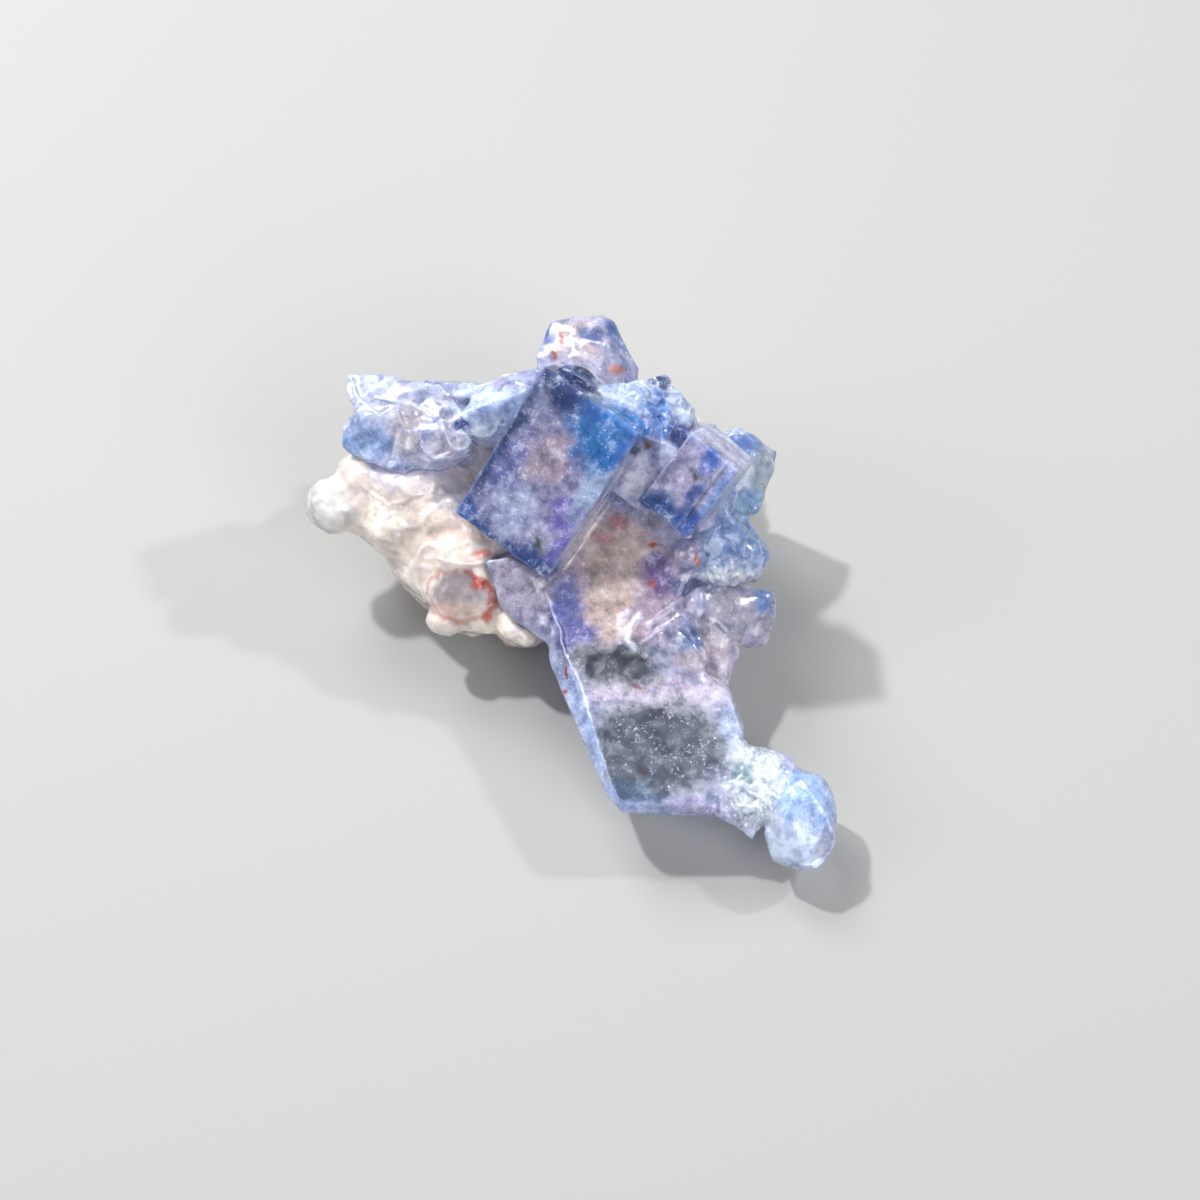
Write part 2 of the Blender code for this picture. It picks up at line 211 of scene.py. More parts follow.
class Recipe:
    """A material's nodes. place is the point on the piece in the growth slope, in millimetres."""

    def __init__(self, name):
        self.material = bpy.data.materials.new(name)
        self.material.use_nodes = True
        self.tree = self.material.node_tree
        self.tree.nodes.clear()
        self.end = self.tree.nodes.new("ShaderNodeOutputMaterial")
        here = self.node("ShaderNodeTexCoord", {}).outputs["Object"]
        back = Matrix.Rotation(radians(-SLOPE_LEAN), 3, "X")
        shift = -(back @ Vector(SLOPE_ORIGIN))
        self.place = self.mapped(here, shift, (radians(-SLOPE_LEAN), 0, 0), (1 / MM,) * 3)

    def plug(self, value, socket):
        if isinstance(value, Wire):
            value = value.socket
        if isinstance(value, bpy.types.NodeSocket):
            self.tree.links.new(value, socket)
        elif value is not None:
            socket.default_value = value

    def node(self, kind, settings, *values, **named):
        """Adds a node: its settings first, then what feeds its sockets, by order or by name."""
        made = self.tree.nodes.new(kind)
        for name, value in settings.items():
            setattr(made, name, value)
        for index, value in enumerate(values):
            self.plug(value, made.inputs[index])
        for name, value in named.items():
            self.plug(value, made.inputs[name.replace("_", " ")])
        return made

    def number(self, kind, settings, *values, **named):
        return Wire(self, self.node(kind, settings, *values, **named).outputs[0])

    def mapped(self, vector, shift, turn, scale):
        """A point scaled, then turned, then shifted."""
        values = (vector, tuple(shift), tuple(turn), tuple(scale))
        return self.node("ShaderNodeMapping", {"vector_type": "POINT"}, *values).outputs[0]

    def cloud(self, size, detail=3.0, rough=0.55):
        """Soft noise from 0 to 1 with patches about size millimetres across."""
        return self.number("ShaderNodeTexNoise", {"noise_dimensions": "3D"}, Vector=self.place,
                           Scale=1 / size, Detail=detail, Roughness=rough)

    def grains(self, size, place):
        """How far the nearest of many scattered points is, from 0 to about 1, size millimetres apart."""
        return self.number("ShaderNodeTexVoronoi", {}, Vector=place, Scale=1 / size)

    def mix(self, share, first, second):
        """A colour: first where share is 0 and second where it is 1."""
        made = self.node("ShaderNodeMix", {"data_type": "RGBA"})
        sockets = {socket.identifier: socket for socket in made.inputs}
        self.plug(share, sockets["Factor_Float"])
        self.plug(first, sockets["A_Color"])
        self.plug(second, sockets["B_Color"])
        return next(socket for socket in made.outputs if socket.identifier == "Result_Color")

    def near(self, middle, reach, place, soft):
        """1 in the middle of an egg-shaped zone, falling to 0 over the soft share of its reach."""
        scale = [1 / size for size in reach]
        shift = [-at * size for at, size in zip(middle, scale)]
        there = self.mapped(place, shift, (0, 0, 0), scale)
        far = self.node("ShaderNodeVectorMath", {"operation": "LENGTH"}, there).outputs["Value"]
        return Wire(self, far).rise(1.0, 1.0 - soft)

    def vector(self, operation, *values):
        return self.node("ShaderNodeVectorMath", {"operation": operation}, *values).outputs[0]

    def parts(self, vector):
        made = self.node("ShaderNodeSeparateXYZ", {}, vector)
        return [Wire(self, socket) for socket in made.outputs]

    def painted(self, name):
        """The colour that the mesh's points hold under this name."""
        return self.node("ShaderNodeAttribute", {"attribute_name": name}).outputs["Color"]

    def geometry(self, name):
        return Wire(self, self.node("ShaderNodeNewGeometry", {}).outputs[name])

    def push(self, amount, size):
        """A soft random shift of up to about amount, in patches about size millimetres across."""
        swirl = self.node("ShaderNodeTexNoise", {"noise_dimensions": "3D"}, Vector=self.place,
                          Scale=1 / size, Detail=2.0, Roughness=0.6).outputs["Color"]
        return self.vector("MULTIPLY_ADD", swirl, (2 * amount,) * 3, (-amount,) * 3)


def cube_axes(turn):
    """Turns a cube's own axes into the slope's."""
    spin, lean_x, lean_y = turn
    about_x = Matrix.Rotation(radians(GROWTH_LEAN[0] + lean_x), 3, "X")
    about_y = Matrix.Rotation(radians(GROWTH_LEAN[1] + lean_y), 3, "Y")
    return about_x @ about_y @ Matrix.Rotation(radians(GROWTH_SPIN + spin), 3, "Z")


# Zones of colour. Each has its middle and reach in the slope, its colour, and two shares from 0 to 1:
# how milky it is, and how frosted its surface is. A later zone lies over an earlier one.
FLUORITE_BODY = ((172, 176, 208), 0.6, 0.12)
FLUORITE_ZONES = {
    "left_lavender": ((-9.4, 9.4, 0.0), (5.6, 4.6, 5.0), (200, 202, 222), 0.52, 0.14),
    "left_blue_corner": ((-11.9, 8.5, 0.5), (2.2, 2.0, 3.0), (148, 178, 224), 0.58, 0.12),
    "left_blue_edge": ((-10.0, 7.1, 0.8), (2.4, 0.7, 2.5), (176, 182, 220), 0.58, 0.12),
    "left_grey_core": ((-9.3, 9.3, 1.5), (1.3, 1.8, 2.0), (196, 188, 196), 0.56, 0.1),
    "left_ridge": ((-11.4, 11.9, 0.3), (2.6, 1.1, 2.0), (204, 210, 232), 0.56, 0.2),
    "left_inner": ((-6.9, 8.9, 1.4), (2.0, 2.6, 3.0), (204, 198, 216), 0.6, 0.14),
    "left_inner_blue": ((-8.2, 9.6, 1.6), (0.7, 1.7, 2.0), (184, 188, 222), 0.5, 0.12),
    "aqua": ((-4.6, 10.5, 1.8), (3.0, 3.0, 3.0), (208, 222, 246), 0.64, 0.06),
    "aqua_violet": ((-3.9, 11.8, 1.4), (1.3, 0.9, 2.0), (188, 184, 224), 0.5, 0.1),
    "aqua_navy": ((-6.3, 9.4, 1.6), (0.6, 0.7, 1.5), (70, 96, 176), 0.45, 0.1),
    "aqua_white": ((-5.3, 8.0, 1.2), (1.2, 1.9, 3.0), (226, 234, 242), 0.66, 0.22),
    "top_peach": ((0.6, 13.7, -1.0), (3.1, 2.9, 4.0), (204, 188, 190), 0.66, 0.16),
    "top_blue": ((2.5, 14.6, -0.6), (1.3, 1.8, 3.0), (82, 112, 184), 0.55, 0.12),
    "top_left_blue": ((-1.5, 14.6, 0.2), (0.9, 1.2, 2.0), (110, 130, 188), 0.55, 0.14),
    "top_navy": ((0.9, 14.6, 0.6), (0.9, 0.6, 1.5), (96, 108, 156), 0.56, 0.12),
    "top_ledge": ((0.5, 12.2, 4.6), (1.3, 0.7, 0.9), (56, 78, 116), 0.35, 0.06),
    "right_ledge": ((4.8, 11.9, 1.9), (1.1, 0.6, 0.9), (40, 74, 124), 0.35, 0.06),
    "shoulder_pale": ((2.9, 10.9, 3.4), (2.6, 1.8, 3.5), (186, 204, 232), 0.6, 0.2),
    "shoulder_blue": ((5.0, 9.8, 3.6), (2.1, 1.9, 3.0), (88, 134, 206), 0.55, 0.14),
    "shoulder_navy": ((6.0, 8.6, 4.0), (1.1, 0.9, 1.6), (66, 88, 160), 0.45, 0.16),
    "pale_end": ((6.5, 10.6, 2.6), (1.5, 1.8, 3.0), (190, 204, 230), 0.62, 0.24),
    "rear_body": ((10.0, 6.6, -1.5), (2.6, 3.0, 3.0), (186, 200, 210), 0.46, 0.06),
    "rear_blue_top": ((9.2, 8.7, -1.4), (1.9, 1.3, 2.5), (96, 130, 190), 0.56, 0.1),
    "rear_low": ((9.6, 5.0, -1.4), (1.8, 1.3, 2.5), (150, 188, 224), 0.5, 0.1),
    "blue_crystal": ((9.1, 2.7, 0.8), (3.4, 3.2, 3.5), (140, 172, 220), 0.48, 0.05),
    "blue_glitter": ((8.8, 1.1, 1.3), (1.9, 1.0, 1.6), (222, 228, 238), 0.8, 0.36),
    "lower_right": ((9.7, -1.6, 0.0), (3.6, 4.0, 4.0), (186, 180, 196), 0.6, 0.1),
    "lower_right_blue": ((10.9, -0.4, -0.6), (1.0, 1.1, 2.0), (124, 160, 214), 0.6, 0.12),
    "lower_right_lilac": ((10.1, -2.7, -0.4), (1.5, 1.2, 2.0), (188, 178, 198), 0.6, 0.14),
    "lower_inner": ((7.4, -3.7, 1.2), (3.2, 2.6, 2.8), (190, 176, 188), 0.6, 0.1),
    "interior_blue": ((6.4, -2.5, 2.2), (1.4, 1.0, 2.0), (108, 130, 180), 0.54, 0.04),
    "centre_lavender": ((2.4, 0.2, 2.0), (5.4, 5.6, 3.4), (182, 162, 182), 0.66, 0.06),
    "centre_beige": ((2.6, 2.5, 2.0), (3.4, 2.8, 2.5), (206, 186, 176), 0.7, 0.05),
    "centre_sand": ((2.4, 2.2, 1.8), (1.2, 1.6, 1.5), (194, 170, 154), 0.7, 0.05),
    "centre_pink": ((2.1, -0.8, 2.2), (2.4, 3.0, 2.2), (206, 184, 176), 0.7, 0.05),
    "centre_purple": ((-0.6, -0.5, 1.6), (1.6, 2.0, 2.0), (106, 116, 186), 0.58, 0.05),
    "centre_violet_low": ((0.2, -2.3, 1.8), (1.7, 1.1, 2.0), (124, 122, 184), 0.54, 0.05),
    "centre_violet": ((4.9, 1.2, 1.9), (1.0, 1.7, 1.8), (122, 98, 152), 0.6, 0.06),
    "bump_navy": ((6.2, 0.5, 1.8), (1.3, 0.6, 1.4), (48, 64, 122), 0.4, 0.06),
    "bump": ((6.5, 2.2, 2.6), (0.9, 0.9, 1.2), (176, 156, 180), 0.5, 0.04),
    "low_middle": ((-3.0, 0.4, 1.6), (2.6, 3.4, 2.8), (190, 182, 204), 0.56, 0.06),
    # The recess between the two cubes: its own pale lavender, lightened further as painted light against the
    # shade there.
    "seam_pale_painted_light": ((3.5, 7.0, 3.2), (1.6, 2.6, 2.4), (232, 226, 240), 0.85, 0.2),
    "tongue_pale": ((4.6, -9.0, 3.6), (8.0, 5.6, 4.0), (186, 190, 216), 0.55, 0.14),
    "tongue_cloud": ((4.8, -5.6, 3.0), (6.0, 1.3, 2.2), (204, 192, 212), 0.7, 0.12),
    "tongue_upper_window": ((2.5, -4.0, 2.8), (3.7, 1.7, 2.4), (214, 218, 226), 0.07, 0.01),
    "tongue_window": ((5.0, -8.5, 4.2), (5.2, 3.8, 3.4), (222, 226, 236), 0.03, 0.01),
    "tongue_window_left": ((3.2, -9.3, 4.2), (3.0, 3.9, 3.4), (214, 222, 234), 0.05, 0.02),
    "tongue_teal": ((3.1, -11.0, 4.8), (2.4, 1.2, 2.0), (112, 146, 176), 0.2, 0.06),
    "tongue_low_band": ((6.2, -11.9, 4.8), (3.2, 0.75, 2.0), (182, 172, 204), 0.6, 0.14),
    "tongue_right": ((9.3, -8.2, 3.4), (1.2, 2.8, 2.0), (190, 202, 228), 0.6, 0.28),
    "neck": ((10.3, -10.7, 4.2), (2.3, 3.3, 2.5), (228, 236, 242), 0.56, 0.22),
    "neck_teal": ((9.3, -10.0, 4.4), (0.9, 0.8, 1.4), (176, 212, 220), 0.3, 0.1),
    "knob_blue": ((13.1, -11.4, 5.0), (2.3, 2.6, 3.0), (158, 190, 236), 0.66, 0.34),
    "knob_white": ((12.2, -13.9, 5.2), (2.0, 1.9, 2.5), (212, 224, 244), 0.76, 0.4),
    "rear_cubes": ((0.0, 12.0, -8.0), (11.0, 6.0, 5.0), (112, 128, 190), 0.5, 0.1),
}

# The slanting side of the tongue begins where its surface turns away from the way that its face looks:
# from SIDE_START to FACE_START of the cosine between them.
TONGUE_FACE = (0.04, 0.37, 0.93)
SIDE_START = 0.82
FACE_START = 0.93
TONGUE_SIDE = {
    "tongue_side": ((2.6, -8.6, 3.4), (6.6, 7.6, 4.0), (172, 188, 226), 0.66, 0.26),
    "tongue_side_low": ((2.4, -12.0, 4.0), (2.2, 2.2, 2.0), (176, 194, 236), 0.66, 0.26),
}

# Zones of a cube in its own axes: along and across its face from -1 to 1, and out of the face in
# millimetres. They fade out just past its edges, deep inside it and above its face.
PAST_EDGE = (1.05, 1.12)
DEEP_INSIDE = (2.4, 3.4)
ABOVE_FACE = (0.4, 0.6)
MAIN_CUBE_ZONES = {
    "core": ((-0.1, 0.0, -0.5), (1.4, 1.4, 4.0), (158, 156, 192), 0.6, 0.06),
    "far_side": ((0.0, -1.25, -1.6), (1.3, 0.28, 2.6), (178, 184, 214), 0.62, 0.16),
    "long_rim": ((0.1, 1.02, -0.6), (1.5, 0.36, 1.8), (54, 74, 122), 0.62, 0.05),
    "long_rim_inner": ((-0.2, 0.6, -0.4), (0.6, 0.34, 1.6), (118, 122, 178), 0.6, 0.05),
    "low_rim": ((-1.04, 0.0, -0.6), (0.3, 1.8, 1.8), (30, 72, 138), 0.62, 0.04),
    "left_corner": ((-0.95, 0.95, -0.6), (0.44, 0.56, 1.8), (48, 90, 162), 0.62, 0.04),
    "low_corner": ((-0.95, -0.92, -0.6), (0.46, 0.5, 1.6), (26, 66, 132), 0.62, 0.04),
    "navy_top": ((0.95, 0.5, -0.5), (0.5, 0.84, 1.8), (36, 62, 116), 0.62, 0.05),
    "violet": ((-0.25, -0.72, -0.3), (0.34, 0.36, 1.4), (128, 112, 200), 0.5, 0.05),
    "violet_low": ((-0.62, -0.86, -0.3), (0.3, 0.2, 1.4), (112, 100, 190), 0.5, 0.05),
    "pale": ((0.24, -0.86, -0.3), (0.7, 0.4, 1.6), (176, 192, 222), 0.62, 0.08),
    "azure": ((0.82, -0.5, -0.5), (0.66, 0.8, 1.8), (44, 124, 192), 0.62, 0.04),
    "azure_end": ((0.78, -0.95, -0.5), (0.42, 0.42, 1.8), (30, 112, 192), 0.6, 0.04),
    "pink": ((0.16, 0.1, -0.2), (0.46, 0.52, 1.4), (178, 162, 178), 0.6, 0.06),
    "low_pale": ((-0.5, 0.1, -0.2), (0.4, 0.6, 1.4), (170, 176, 210), 0.62, 0.08),
    "speck": ((-0.75, -0.48, -0.1), (0.14, 0.19, 0.8), (84, 98, 88), 0.6, 0.1),
}

SMALL_CUBE_ZONES = {
    "core": ((0.0, 0.0, -0.3), (1.6, 1.6, 3.4), (188, 182, 210), 0.56, 0.05),
    "low_rim": ((-1.1, 0.0, -0.4), (0.9, 2.4, 2.6), (38, 82, 146), 0.64, 0.04),
    "low_corner": ((-0.8, -0.8, -0.4), (0.7, 0.6, 1.8), (44, 94, 180), 0.64, 0.04),
    "blue_heart": ((-0.1, -0.42, -0.3), (0.6, 0.34, 1.8), (92, 112, 180), 0.6, 0.04),
    "top_blue": ((0.75, -0.1, -0.3), (0.34, 0.5, 1.4), (84, 120, 198), 0.6, 0.05),
    "right_rim": ((0.2, -1.05, -0.3), (1.0, 0.34, 1.2), (136, 164, 220), 0.6, 0.06),
    "left_grey": ((0.1, 0.9, -0.3), (0.9, 0.3, 1.4), (150, 144, 176), 0.55, 0.1),
    "speck": ((0.3, 0.1, -0.1), (0.14, 0.18, 0.6), (92, 66, 74), 0.6, 0.1),
}

# Rusty and red stains: middle, reach and colour. They fade over this share of their reach.
STAIN_SOFTNESS = 0.7
FLUORITE_STAINS = {
    "top_streak": ((-0.65, 14.5, 0.8), (0.3, 0.8, 1.5), (180, 98, 74)),
    "top_low_streak": ((-1.1, 13.5, 0.8), (0.3, 0.6, 1.5), (194, 124, 106)),
    "top_right_stain": ((2.5, 12.6, 0.8), (0.6, 0.45, 1.5), (222, 146, 130)),
    "azure_rust": ((4.1, 8.3, 4.8), (0.24, 0.5, 1.0), (140, 70, 40)),
    "azure_green": ((3.4, 7.95, 4.9), (0.55, 0.5, 1.0), (24, 62, 76)),
    "seam_red": ((2.5, 4.0, 2.4), (1.0, 0.8, 1.8), (168, 92, 98)),
    "seam_red_low": ((1.7, 3.1, 2.2), (0.9, 0.5, 1.6), (184, 124, 126)),
    "red_dash": ((4.5, 2.65, 2.0), (0.4, 0.18, 1.2), (176, 56, 44)),
    "red_dot": ((4.4, 0.5, 2.2), (0.42, 0.36, 1.2), (196, 96, 90)),
    "bump_rust": ((7.05, 1.8, 2.6), (0.22, 0.6, 1.0), (186, 98, 62)),
    "tongue_streak": ((-0.35, -4.4, 2.2), (0.14, 0.5, 1.4), (150, 52, 52)),
    "tongue_dot": ((-0.4, -5.6, 2.4), (0.2, 0.26, 1.4), (160, 74, 74)),
    "tongue_pink": ((3.6, -5.25, 3.4), (0.7, 0.24, 1.0), (208, 152, 150)),
    "pit_ring": ((3.95, -9.75, 4.9), (0.5, 0.42, 0.9), (202, 164, 160)),
}

QUARTZ_BODY = ((222, 210, 202), 0.86, 0.16)
QUARTZ_ZONES = {
    "lobe": ((-14.1, 5.0, -1.0), (2.2, 2.2, 3.0), (212, 213, 213), 0.66, 0.06),
    "upper_lilac": ((-9.4, 6.6, 0.2), (3.4, 1.2, 2.0), (206, 202, 220), 0.74, 0.12),
    "sugary": ((-10.8, 4.2, -0.6), (1.7, 1.5, 2.5), (242, 236, 222), 0.96, 0.4),
    "grey_hollow": ((-7.2, 5.2, 0.8), (1.5, 0.8, 1.5), (192, 186, 194), 0.7, 0.12),
    "grey_speck": ((-7.9, 3.6, 0.8), (0.55, 0.4, 1.5), (128, 134, 150), 0.7, 0.2),
    "warm": ((-6.5, 3.6, 0.8), (2.4, 1.4, 2.5), (232, 214, 202), 0.9, 0.1),
    "pink_top": ((-5.6, 7.0, 1.0), (1.4, 1.6, 2.5), (206, 186, 188), 0.7, 0.1),
    "low_grey": ((-6.5, 0.3, 1.2), (2.0, 1.2, 2.0), (184, 170, 176), 0.5, 0.06),
    "low_peach": ((-6.9, -1.0, 0.6), (2.4, 0.9, 2.5), (226, 194, 184), 0.76, 0.12),
    "foot": ((-4.2, -2.4, 0.0), (3.6, 1.3, 3.0), (240, 230, 216), 0.92, 0.16),
    "foot_lilac": ((-2.2, -1.3, 0.6), (0.9, 1.2, 2.0), (176, 170, 192), 0.6, 0.1),
}
QUARTZ_STAINS = {
    "red_spot": ((-5.3, 0.5, 1.2), (0.5, 0.6, 2.0), (192, 66, 40)),
    "left_mark": ((-8.2, 0.0, 0.8), (0.14, 0.4, 1.5), (160, 100, 96)),
    "band_red": ((-4.9, 2.2, 1.2), (1.0, 0.4, 1.5), (206, 132, 118)),
    "edge_red": ((-5.3, 6.2, 1.6), (0.24, 0.6, 1.5), (190, 116, 96)),
    "rust_line": ((-3.6, -0.5, 1.0), (0.9, 0.3, 1.5), (208, 150, 112)),
}

# Red and rusty lines on the quartz: the line in the slope, its half width, colour and strength.
QUARTZ_VEINS = {
    "red_arc": ([(-5.9, 1.1), (-5.2, 0.7), (-4.7, 0.1), (-4.6, -0.7), (-5.0, -1.5)],
                0.3, (188, 66, 42), 0.9),
    "red_arc_low": ([(-5.0, -1.5), (-6.0, -1.7), (-7.3, -1.6)], 0.26, (200, 116, 96), 0.6),
    "arc_top": ([(-8.1, 0.7), (-7.0, 1.2), (-5.9, 1.1)], 0.2, (186, 120, 104), 0.5),
    "arc_left": ([(-8.2, 0.6), (-8.0, -0.6), (-7.3, -1.6)], 0.18, (190, 130, 116), 0.4),
}

# Sharp crests and cracks: the line in the slope, its half width and height in millimetres, and how
# white it is. The white is partly scratches and partly a painted glint.
CRESTS = {
    "tongue_ridge": ([(-1.5, 0.1), (-0.7, -2.0), (-0.35, -3.4), (0.4, -4.9), (1.05, -6.9)],
                     0.1, 0.08, 0.6),
    "tongue_edge": ([(1.05, -6.9), (2.0, -10.0), (2.8, -11.8)], 0.12, 0.05, 0.14),
    "hook": ([(3.7, -1.2), (3.2, -1.9), (3.1, -2.6), (3.5, -3.1)], 0.28, 0.18, 0.9),
    "hook_tail": ([(4.0, -2.7), (4.7, -2.2), (5.4, -1.6)], 0.12, 0.1, 0.3),
    "block_edge": ([(4.2, -1.9), (5.6, -0.8), (7.0, 0.2)], 0.2, 0.1, 0.15),
    "block_low": ([(6.0, -2.1), (7.3, -3.4)], 0.1, -0.1, 0.0),
    "main_foot": ([(-1.3, 0.7), (0.2, 2.6), (1.3, 3.9)], 0.13, 0.08, 0.2),
    "horn": ([(-12.6, 12.2), (-12.1, 10.9), (-10.9, 10.0), (-10.3, 10.4)], 0.16, 0.12, 0.16),
    "left_arc": ([(-11.2, 11.1), (-9.0, 10.6), (-7.2, 9.6)], 0.16, 0.1, 0.16),
    "left_fold": ([(-9.3, 8.1), (-8.0, 7.4), (-6.9, 7.9)], 0.18, 0.1, 0.2),
    "left_low": ([(-10.2, 6.6), (-8.4, 6.9), (-6.8, 7.2)], 0.13, 0.08, 0.2),
    "aqua_top": ([(-7.7, 9.6), (-6.7, 9.7), (-6.0, 10.2), (-4.6, 10.6), (-4.0, 11.2)], 0.13, 0.1, 0.25),
    "aqua_low": ([(-6.4, 9.0), (-4.6, 8.8), (-3.9, 9.9)], 0.12, 0.08, 0.2),
    "aqua_left": ([(-6.5, 10.6), (-6.3, 9.2), (-5.2, 7.9)], 0.12, 0.08, 0.25),
    "band": ([(-7.6, 2.0), (-6.1, 1.6), (-4.9, 1.75), (-3.8, 2.1)], 0.12, 0.09, 0.4),
    "knob_rim": ([(12.6, -10.4), (13.3, -11.3), (14.0, -12.3), (14.5, -13.6), (14.2, -14.4)], 0.14, 0.1, 0.2),
    "cream_fold": ([(-11.8, 6.0), (-10.4, 5.0), (-8.6, 5.6)], 0.14, 0.1, 0.4),
}

# The steps in the outer face of the small cube: the way they look in the face, how far out they start
# as a share of the half face, and their depth in millimetres. They touch what lies within STEP_RIM of
# the half face and STEP_SKIN millimetres of the face.
SMALL_CUBE_STEPS = [((0, -1), 0.56, 0.14), ((-1, 0), 0.3, 0.05)]
STEP_RIM = 1.04
STEP_SKIN = 0.4

# Where the crystals are worn round: middle, reach and how much.
FLUORITE_WEAR = [
    ((0, 0, 0), EVERYWHERE, 0.02),
    ((-9.4, 9.2, 0.6), (5.0, 4.0, 4.0), 0.08),
    ((-4.6, 10.6, 1.4), (2.6, 2.6, 3.0), 0.12),
    ((0.8, 14.2, -0.6), (3.6, 2.8, 4.0), 0.2),
    ((4.9, 10.4, 3.0), (3.4, 2.0, 3.4), 0.9),
    ((10.0, 6.6, -1.8), (3.0, 3.4, 3.6), 0.8),
    ((9.4, 2.4, 0.4), (3.0, 2.8, 3.6), 0.2),
    ((8.6, -2.6, 0.4), (4.0, 3.8, 3.2), 0.6),
    ((2.4, -0.6, 1.6), (5.4, 4.4, 2.4), 0.9),
    ((-3.4, -0.4, 0.6), (2.6, 3.0, 3.0), 0.7),
    ((4.6, -4.6, 2.0), (6.0, 2.0, 2.4), 0.8),
    ((9.8, -10.6, 3.8), (2.4, 3.6, 3.0), 1.0),
    ((13.0, -12.6, 4.4), (3.2, 4.0, 3.6), 1.0),
]
WEAR_ROUNDS = 90
QUARTZ_WEAR = [((0, 0, 0), EVERYWHERE, 0.5)]
QUARTZ_WEAR_ROUNDS = 25

# The quartz swells by QUARTZ_SWELL beside the fluorite, so that they meet, and less up to QUARTZ_REACH.
QUARTZ_SWELL = 0.4
QUARTZ_REACH = 2.0

# Colours are stirred by up to about STIR millimetres, in swirls of about SWIRL millimetres.
# The colours of a cube are stirred by CUBE_STIR of that, and stained lines by VEIN_STIR of it.
STIR = 0.5
SWIRL = 1.3
CUBE_STIR = 0.4
VEIN_STIR = 0.6

# Edges are bluer than the faces, and their crests are white, partly scratched and partly a painted glint.
# Both are found by smoothing the mesh in a number of rounds: what stands out by this many millimetres is
# fully an edge or a crest.
EDGE = (40, 0.26)
CREST = (3, 0.04)
CREST_WHITE = 0.26
RIM_TINT = (0.42, 0.6, 0.88)
RIM_SHARE = 0.62

# Silvery flakes: the middle of their box in the slope, then the tree's inputs, with sizes in metres. The
# boxes lean with the tongue, and flakes are left out where the noise that makes the patches is thin.
FLAKES = {
    "tongue_flakes": ((5.3, -8.6, 3.4), {
        "Flakes": 900, "Half Box": (0.0032, 0.0026, 0.0005), "Smallest": 0.00003, "Largest": 0.00011,
        "Patches per Metre": 714.0, "Seed": 5}),
    "neck_flakes": ((9.4, -10.2, 3.8), {
        "Flakes": 500, "Half Box": (0.0012, 0.0016, 0.0005), "Smallest": 0.00004, "Largest": 0.00013,
        "Patches per Metre": 1000.0, "Seed": 9}),
}
FLAKE_LEAN = -22
FLAKE_SHAPE = (1.0, 0.7, 0.25)
THIN_PATCH = 0.52


# Materials

def stained(recipe, stains, place, tint):
    for middle, reach, colour in stains.values():
        tint = recipe.mix(recipe.near(middle, reach, place, STAIN_SOFTNESS), tint, linear(*colour))
    return tint


def mineral(recipe, tint, milk, roughness, normal, index, spread):
    """Clear crystal where milk is 0, and milky crystal, lit from within, where it is 1."""
    clear = recipe.node("ShaderNodeBsdfPrincipled", {}, Base_Color=recipe.mix(0.2, tint, (1, 1, 1, 1)),
                        Roughness=roughness * 0.7, IOR=index, Normal=normal, Transmission_Weight=1.0)
    milky = recipe.node("ShaderNodeBsdfPrincipled", {}, Base_Color=tint, Roughness=roughness, IOR=index,
                        Normal=normal, Subsurface_Weight=1.0, Subsurface_Radius=(0.9, 1.0, 1.2),
                        Subsurface_Scale=spread * MM, Coat_Weight=1.0, Coat_Roughness=0.04)
    seen = milk.larger(0.02).smaller(0.97) * (1 - recipe.geometry("Backfacing"))
    both = recipe.node("ShaderNodeMixShader", {}, seen, clear.outputs[0], milky.outputs[0])
    recipe.tree.links.new(both.outputs[0], recipe.end.inputs["Surface"])


def fluorite_material():
    """Painted colours with darker and paler clouds, white crumbs, white dots of painted sparkle, crests white
    partly from a painted glint, and rusty stains.
    """
    recipe = Recipe("fluorite")
    stirred = recipe.vector("ADD", recipe.place, recipe.push(amount=0.36, size=0.8))
    cloudy = recipe.cloud(0.8, detail=4.0, rough=0.7)
    fine = recipe.cloud(0.16, detail=2.0, rough=0.65)

    milk, frost, worn_and_glint = recipe.parts(recipe.painted("finish"))
    tint = stained(recipe, FLUORITE_STAINS, stirred, recipe.painted("tint"))
    deeper = recipe.vector("MULTIPLY", tint, FLUORITE_DEEPER)
    tint = recipe.mix(cloudy.rise(0.52, 0.36) * 0.6, tint, deeper)
    tint = recipe.mix(cloudy.rise(0.52, 0.68) * 0.45, tint, linear(*FLUORITE_PALE))
    patches = cloudy * 0.5 + recipe.cloud(2.0, detail=2.0) * 0.5
    painted_sparkles = recipe.grains(0.24, stirred).rise(0.3, 0.1) * fine.rise(0.5, 0.62)
    crumbs = recipe.grains(0.5, stirred).rise(0.17, 0.06) * patches.rise(0.52, 0.6)
    # White from crumbs, from crests that are partly scratched and partly a painted glint, and from dots of
    # painted sparkle.
    white = (worn_and_glint * 0.7).larger(painted_sparkles * 0.5).larger(crumbs * 0.9)
    tint = recipe.mix(white, tint, linear(*FLUORITE_WHITE))

    milk = milk + (cloudy - 0.5) * 0.8 + white * 0.5
    roughness = (frost + (fine - 0.5) * 0.16 + 0.02).larger(0.02)
    height = fine * 0.6 + cloudy * 0.8
    normal = recipe.node("ShaderNodeBump", {}, Strength=0.6, Distance=FLUORITE_PITS, Height=height).outputs[0]
    mineral(recipe, tint, milk, roughness, normal, FLUORITE_INDEX, FLUORITE_SPREAD)
    tinting = recipe.node("ShaderNodeVolumeAbsorption", {}, Color=FLUORITE_TINTING, Density=FLUORITE_DENSITY)
    recipe.tree.links.new(tinting.outputs[0], recipe.end.inputs["Volume"])
    return recipe.material


